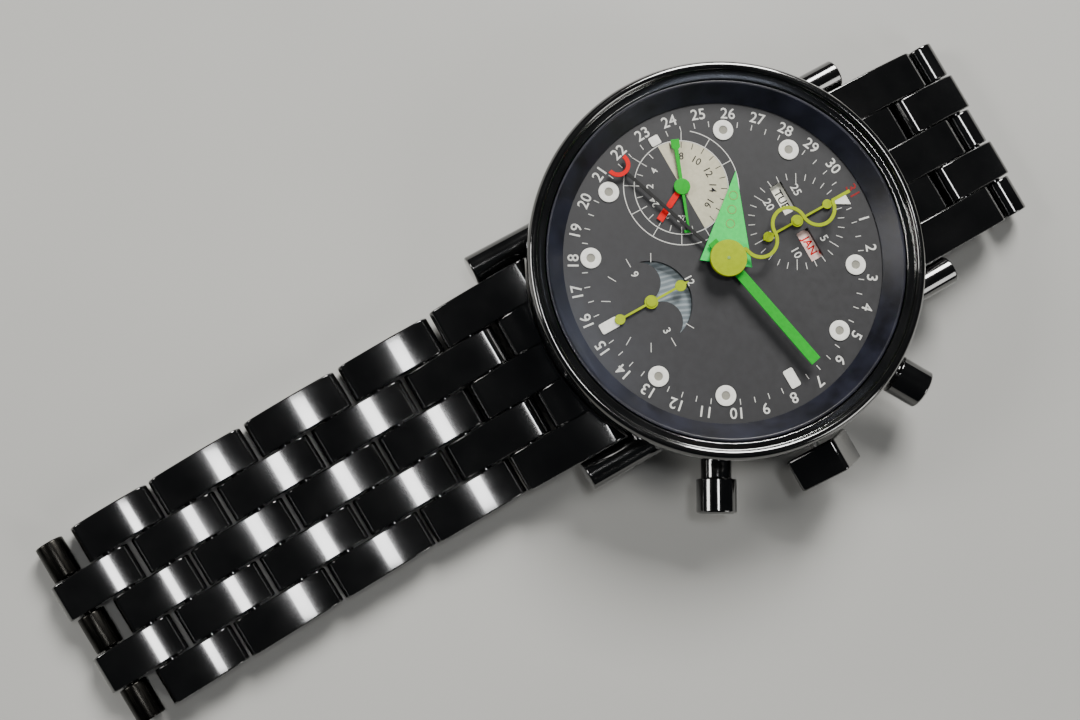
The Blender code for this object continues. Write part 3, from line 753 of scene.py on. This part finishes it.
def make_calendar():
    days = ("TUE", "WED", "THU", "FRI", "SAT", "SUN", "MON")
    months = ("JAN", "FEB", "MAR", "APR", "MAY", "JUN", "JUL", "AUG", "SEP", "OCT", "NOV", "DEC")
    window_text("day_names", "day_ring", days, "day_disc", "day_disc", "day_card", "black_print",
                -WINDOW_OFFSET)
    window_text("month_names", "month_ring", months, "month_disc", "month_disc", "pink_print",
                "red_lacquer", WINDOW_OFFSET)
    low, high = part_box("moon_disc")
    bm = bmesh.new()
    add_ring(bm, 0.4, 4.6, low.z / MM, high.z / MM, move(y=-SUBDIAL), 128)
    piece("moon_plate", bm, "moon_blue", "moon_disc", ["moon_disc"])
    bm = bmesh.new()
    for degrees in (90, 270):
        place = move(y=-SUBDIAL) @ clockwise(degrees) @ move(y=2.6)
        add_cylinder(bm, 1.35, high.z / MM, high.z / MM + 0.04, place, 0.02)
    piece("moon_faces", bm, "grey_print", "moon_disc")


# ---------------------------------------------------------------- hands

def hub_profile(hub, pipe_radius, low, bore):
    """Hub on a pipe that goes through the dial, with a bore where another pipe runs inside it."""
    radius, top = hub
    return [(bore, PIPE_BOTTOM), (pipe_radius, PIPE_BOTTOM), (pipe_radius, low), (radius, low),
            (radius, top), (bore, top)]


def make_hand(node, body, outline, centre, look, hub, pipe_radius, bore=0.0):
    """Flat hand with softened edges, a hub and a pipe through the dial."""
    low = HAND_LEVELS[node]
    thick = HAND_THICKNESS.get(node, USUAL_THICKNESS)
    place = move(*centre) @ clockwise(HAND_ANGLES.get(node, 0))
    bm = bmesh.new()
    add_slab(bm, outline, low, low + thick, place, 0.03, 2)
    profile = rounded(hub_profile(hub, pipe_radius, low, bore), 0.04, closed=bool(bore))
    add_turned(bm, profile, place, SMALL_ROUND)
    piece(node + "_blade", bm, look, body, [node])


def bead_outline(reach, tail, balls):
    """Thin bar with round beads along it."""
    half = 0.11
    side = [(half, -tail)]
    for centre, radius in balls:
        dip = math.degrees(math.asin(half / radius))
        side += arc((0, centre), radius, -90 + dip, 90 - dip, 20)
    side += [(half, reach), (0.04, reach + 0.3)]
    return side + [(-x, y) for x, y in reversed(side)]


def ribbon(path, width):
    left, right = [], []
    for i, point in enumerate(path):
        before = Vector(path[max(i - 1, 0)])
        after = Vector(path[min(i + 1, len(path) - 1)])
        along = (after - before).normalized()
        side = Vector((-along.y, along.x)) * width / 2
        left.append(tuple(Vector(point) + side))
        right.append(tuple(Vector(point) - side))
    return left + right[::-1]


def seconds_path():
    """Three alternating half circles from the hub, then a straight tip."""
    radius = 1.65
    path = [(0, 1.2)]
    for k, way in enumerate((1, -1, 1)):
        middle = 2.0 + radius * (2 * k + 1)
        half_circle = arc((0, middle), radius, -90, -90 + way * 180, 36)
        path += half_circle[(0 if k == 0 else 1):]
    return path + [(0, SECONDS_TIP)]


def make_hand_marks():
    """Three printed rings on the hour hand and the arbor's end in the seconds hub."""
    bm = bmesh.new()
    for reach in (3.55, 4.95, 6.35):
        place = clockwise(HAND_ANGLES["hour_hand"]) @ move(y=reach)
        add_ring(bm, 0.36, 0.46, 10.49, 10.515, place, 40)
    piece("hour_hand_rings", bm, "ring_print", "hour_hand")
    bm = bmesh.new()
    add_cylinder(bm, 0.16, 11.48, 11.53, Matrix(), 0.02, 24)
    piece("seconds_arbor_end", bm, "ring_print", "chronograph_seconds")


def make_hands():
    nine, twelve, six = (-SUBDIAL, 0), (0, SUBDIAL), (0, -SUBDIAL)
    counter = bead_outline(4.0, 3.9, ((-3.3, 0.5), (0, 0.6), (3.5, 0.47)))
    make_hand("thirty_minute_hand", "thirty_minute_counter", counter, twelve, "yellow_lacquer",
              (0.45, 9.86), 0.28)
    hours = bead_outline(3.9, 4.0, ((-3.5, 0.5), (0, 0.66), (3.3, 0.54)))
    make_hand("twelve_hour_hand", "twelve_hour_counter", hours, six, "yellow_lacquer",
              (0.5, 9.86), 0.28)
    bars = [(-0.2, -0.3), (0.2, -0.3), (0.3, 0.9), (0.3, 2.3), (0.16, 2.5), (0.34, 2.8),
            (0.34, 4.0), (-0.34, 4.0), (-0.34, 2.8), (-0.16, 2.5), (-0.3, 2.3), (-0.3, 0.9)]
    make_hand("day_night_hand", "day_night_hand", bars, nine, "red_lacquer",
              (0.7, 9.72), 0.52, 0.36)
    small = [(-0.1, -4.3), (-0.45, -4.3), (-0.45, -4.55), (0.45, -4.55), (0.45, -4.3), (0.1, -4.3),
             (0.2, 3.7), (0.42, 3.9), (0.42, 4.7), (-0.42, 4.7), (-0.42, 3.9), (-0.2, 3.7)]
    make_hand("small_seconds_hand", "running_seconds", small, nine, "green_lacquer",
              (0.8, 9.95), 0.28)
    make_hand("hour_hand", "hour_hand", [(-2.56, -0.4), (2.56, -0.4), (0, 8.85)], (0, 0),
              "pale_green", (1.2, 10.52), 0.8, 0.57)
    make_hand("minute_hand", "minute_hand", [(-0.5, -2.2), (0.5, -2.2), (0.55, 12.9), (-0.55, 12.9)],
              (0, 0), "green_lacquer", (1.2, 10.89), 0.5, 0.32)
    make_hand("chronograph_seconds_hand", "chronograph_seconds", ribbon(seconds_path(), 0.32), (0, 0),
              "yellow_lacquer", (1.78, 11.5), 0.25)
    make_date_hand()
    make_hand_marks()


def make_date_hand():
    """Black arm with a red crescent that frames the date."""
    place = clockwise(HAND_ANGLES["date_hand"])
    low = HAND_LEVELS["date_hand"]
    high = low + HAND_THICKNESS["date_hand"]
    bm = bmesh.new()
    arm = [(-0.17, -2.4), (0.17, -2.4), (0.17, 12.7), (-0.17, 12.7)]
    add_slab(bm, arm, low, high, place, 0.03, 2)
    profile = rounded(hub_profile((1.5, 10.16), 1.1, low, 0.87), 0.03)
    add_turned(bm, profile, place, SMALL_ROUND)
    piece("date_hand_arm", bm, "black_print", "date_hand", ["date_hand"])
    bm = bmesh.new()
    middle = (0, 13.85)
    crescent = arc(middle, 1.2, -188, 8, 48) + arc(middle, 0.8, 8, -188, 48)
    add_slab(bm, crescent, low + 0.005, high + 0.01, place)
    piece("date_hand_crescent", bm, "red_lacquer", "date_hand")


# ---------------------------------------------------------------- bracelet

def strand_frame(start, end, side, heading):
    """Local X across the strand, local Y along it and local Z out of its top face."""
    along = (end - start).normalized()
    across_axis = Vector((math.cos(heading), -side * math.sin(heading), 0))
    up = along.cross(across_axis)
    if up.z < 0:
        up = -up
    axes = Matrix((across_axis, along, up)).transposed().to_4x4()
    return Matrix.Translation(start) @ axes


def link_outline(length, first_end, last_end):
    """Side view of a link: round corners, a flat underside and a crowned top."""
    soft_top, soft_bottom = 1.12, 1.0
    outline = []
    for sign, origin, end in ((1, length, last_end), (-1, 0.0, first_end)):
        upper = arc((end - soft_top, LINK_TOP - soft_top), soft_top, 80, 0, 8)
        lower = arc((end - soft_bottom, soft_bottom - LINK_BOTTOM), soft_bottom, 0, -90, 8)
        side = [(origin + sign * a, h) for a, h in upper + lower]
        outline += side if sign > 0 else side[::-1]
    left, right = outline[-1][0], outline[0][0]
    for i in range(1, 20):
        t = i / 20
        outline.append((left + (right - left) * t, LINK_TOP - 0.015 + LINK_CROWN * 4 * t * (1 - t)))
    return outline


SIDEWAYS = Matrix(((0, 0, 1, 0), (1, 0, 0, 0), (0, 1, 0, 0), (0, 0, 0, 1)))


def add_plate(bm, outline, column, frame_matrix, pitch=COLUMN_PITCH, half=PLATE_HALF):
    half = half * pitch / COLUMN_PITCH
    add_slab(bm, outline, -half, half, frame_matrix @ move(column * pitch) @ SIDEWAYS, LINK_EDGE, 3)


def pin_axis(joint):
    axis = Vector(JOINTS[joint]["axis"])
    point = Vector(JOINTS[joint]["pos_m"]) / MM
    return point, math.atan2(axis.y, axis.x)


def add_pin(bm, joint, reach):
    point, heading = pin_axis(joint)
    place = Matrix.Translation(point) @ Matrix.Rotation(heading, 4, "Z") @ turn(90, "Y")
    add_cylinder(bm, PIN_RADIUS, -reach, reach, place, PIN_EDGE, 32)


def make_long_strand():
    names = ["link_6_pin_%d" % (k + 1) for k in range(10)]
    points = [pin_axis(name)[0] for name in names]
    headings = [pin_axis(name)[1] for name in names]
    for k in range(9):
        row = k // 2 + 1
        heading = math.atan2(points[k + 1].x - points[k].x, points[k].y - points[k + 1].y)
        place = strand_frame(points[k], points[k + 1], -1, heading)
        first = SHORT_END if k >= FIRST_SHORT_PIN else LINK_END
        last = SHORT_END if k + 1 >= FIRST_SHORT_PIN else LINK_END
        outline = link_outline((points[k + 1] - points[k]).length, first, last)
        pitch = COLUMN_PITCH - 0.012 * (k + 1)
        if k % 2:
            bm = bmesh.new()
            for column in (-2, 0, 2):
                add_plate(bm, outline, column, place, pitch)
            add_pin(bm, names[k], 2 * pitch + PIN_OVERHANG)
            add_pin(bm, names[k + 1], 2 * pitch + PIN_OVERHANG)
            node = "outer_links_%d" % row
            piece(node + "_polished", bm, "black_coating", node, [node])
            continue
        for column, label in ((-1, "9_side"), (1, "3_side")):
            bm = bmesh.new()
            add_plate(bm, outline, column, place, pitch)
            node = "inner_link_%d_%s" % (row, label)
            piece(node + "_polished", bm, "black_coating", "inner_links_%d" % row, [node])
    make_knuckle("clasp_knuckle_6", "link_6_pin_10", 1.4, COLUMN_PITCH - 0.12, "dark_steel")


def make_knuckle(node, joint, radius, pitch, look):
    """Three barrels on one pin, where a clasp would join."""
    point, heading = pin_axis(joint)
    place = Matrix.Translation(point) @ Matrix.Rotation(heading, 4, "Z")
    half = PLATE_HALF * pitch / COLUMN_PITCH
    bm = bmesh.new()
    for column in (-2, 0, 2):
        barrel = place @ move(column * pitch) @ turn(90, "Y")
        add_cylinder(bm, radius - 0.01, -half, half, barrel, 0.2)
    reach = 2 * pitch + PIN_OVERHANG
    add_cylinder(bm, PIN_RADIUS, -reach, reach, place @ turn(90, "Y"), PIN_EDGE, 32)
    piece(node + "_barrels", bm, look, node, [node])


def make_short_strand():
    start = pin_axis("link_12_pin_1")[0]
    end = pin_axis("link_12_pin_2")[0]
    place = strand_frame(start, end, 1, 0.0)
    outline = link_outline((end - start).length, LINK_END, 1.7)
    for column, label in ((-1, "9_side"), (1, "3_side")):
        bm = bmesh.new()
        add_plate(bm, outline, column, place)
        node = "short_inner_link_" + label
        piece(node + "_polished", bm, "black_coating", "short_inner_links", [node])
    make_knuckle("clasp_knuckle_12", "link_12_pin_2", 1.5, COLUMN_PITCH, "black_coating")


def make_end_link(node, side, joint, body_end):
    """Fixed link between the lugs: five ribs side by side, three of them long."""
    pin = pin_axis(joint)[0]
    bar = Vector((0, side * 20.0, 4.6))
    place = strand_frame(bar, pin, side, 0.0)
    length = (pin - bar).length
    link = None
    for column in (-2, -1, 0, 1, 2):
        end = length + LINK_END if column % 2 == 0 else body_end
        bm = bmesh.new()
        half = 1.99 if column % 2 == 0 else 2.02
        add_slab(bm, link_outline(end - 1.5, 4.0, 1.5), -half, half,
                 place @ move(column * 3.99) @ SIDEWAYS, LINK_EDGE, 3)
        rib = make_object(node + "_ribs", bm, "black_coating")
        if link:
            boolean(link, rib, "UNION")
        else:
            link = rib
    bm = bmesh.new()
    reach = 2 * COLUMN_PITCH + PIN_OVERHANG
    add_cylinder(bm, PIN_RADIUS, -reach, reach, Matrix.Translation(pin) @ turn(90, "Y"), PIN_EDGE, 32)
    boolean(link, make_object("end_pin_tool", bm), "UNION")
    bm = bmesh.new()
    add_cylinder(bm, CASE_RADIUS + 0.12, -1, 12, Matrix(), 0.0, ROUND)
    boolean(link, make_object("case_tool", bm), "DIFFERENCE")
    settle(link, "head", [node])


# ---------------------------------------------------------------- the rest

def finish_plain_nodes():
    """Carried-over CAD nodes inside the case take their slot's finish."""
    for name, obj in frame["nodes"].items():
        if obj.hide_render:
            continue
        obj.data.materials.clear()
        obj.data.materials.append(LOOKS[SLOT_OF[name]])


def make_stage():
    floor = bpy.data.meshes.new("floor")
    corners = [(-FLOOR_HALF, -FLOOR_HALF, 0), (FLOOR_HALF, -FLOOR_HALF, 0),
               (FLOOR_HALF, FLOOR_HALF, 0), (-FLOOR_HALF, FLOOR_HALF, 0)]
    floor.from_pydata(corners, [], [(0, 1, 2, 3)])
    obj = bpy.data.objects.new("floor", floor)
    bpy.context.scene.collection.objects.link(obj)
    m = Nodes("pale_floor")
    cloud = m.noise(14, 3.0)
    m.colour(m.ramp(cloud, ((0.3, (0.32, 0.32, 0.309)), (0.7, (0.357, 0.357, 0.343)))))
    m.set(Roughness=0.55)
    floor.materials.append(m.material)


def add_light(name, position, target, size, size_y, power, colour=(1, 1, 1)):
    data = bpy.data.lights.new(name, "AREA")
    data.shape = "RECTANGLE"
    data.energy = power
    data.color = colour
    data.size = size
    data.size_y = size_y
    obj = bpy.data.objects.new(name, data)
    obj.location = position
    if target:
        aim = Vector(target) - Vector(position)
        obj.rotation_euler = aim.to_track_quat("-Z", "Y").to_euler()
    bpy.context.scene.collection.objects.link(obj)


def make_lights():
    world = bpy.data.worlds.new("studio")
    world.use_nodes = True
    background = world.node_tree.nodes["Background"]
    background.inputs["Color"].default_value = SKY
    background.inputs["Strength"].default_value = SKY_STRENGTH
    bpy.context.scene.world = world
    add_light("overhead_box", (-0.031, 0.004, 0.62), None, 0.105, 0.075, 0.7)
    add_light("key_box", (-0.42, 0.38, 0.50), (0, -0.01, 0), 0.3, 0.3, 12.0, WARM_WHITE)
    add_light("side_box", (0.5, 0.25, 0.35), (0, -0.02, 0), 0.2, 0.3, 1.3, WARM_WHITE)
    add_light("far_box", (-0.35, -0.55, 0.4), (0, -0.02, 0), 0.3, 0.2, 3.6, WARM_WHITE)


def make_camera():
    data = bpy.data.cameras.new("camera")
    data.sensor_width = 36.0
    data.lens = CAMERA_LENS
    data.clip_start = 0.01
    obj = bpy.data.objects.new("camera", data)
    obj.location = CAMERA_PLACE
    obj.rotation_euler = tuple(math.radians(a) for a in CAMERA_TURN)
    bpy.context.scene.collection.objects.link(obj)
    bpy.context.scene.camera = obj


def main():
    make_camera()
    make_case()
    make_shell()
    make_case_back()
    make_controls()
    make_dial_plate()
    make_main_print()
    make_day_half()
    make_red_date()
    make_markers()
    make_calendar()
    make_hands()
    make_long_strand()
    make_short_strand()
    make_end_link("end_link_6", -1, "link_6_pin_1", 1.55)
    make_end_link("end_link_12", 1, "link_12_pin_1", 4.7)
    finish_plain_nodes()
    make_stage()
    make_lights()


main()
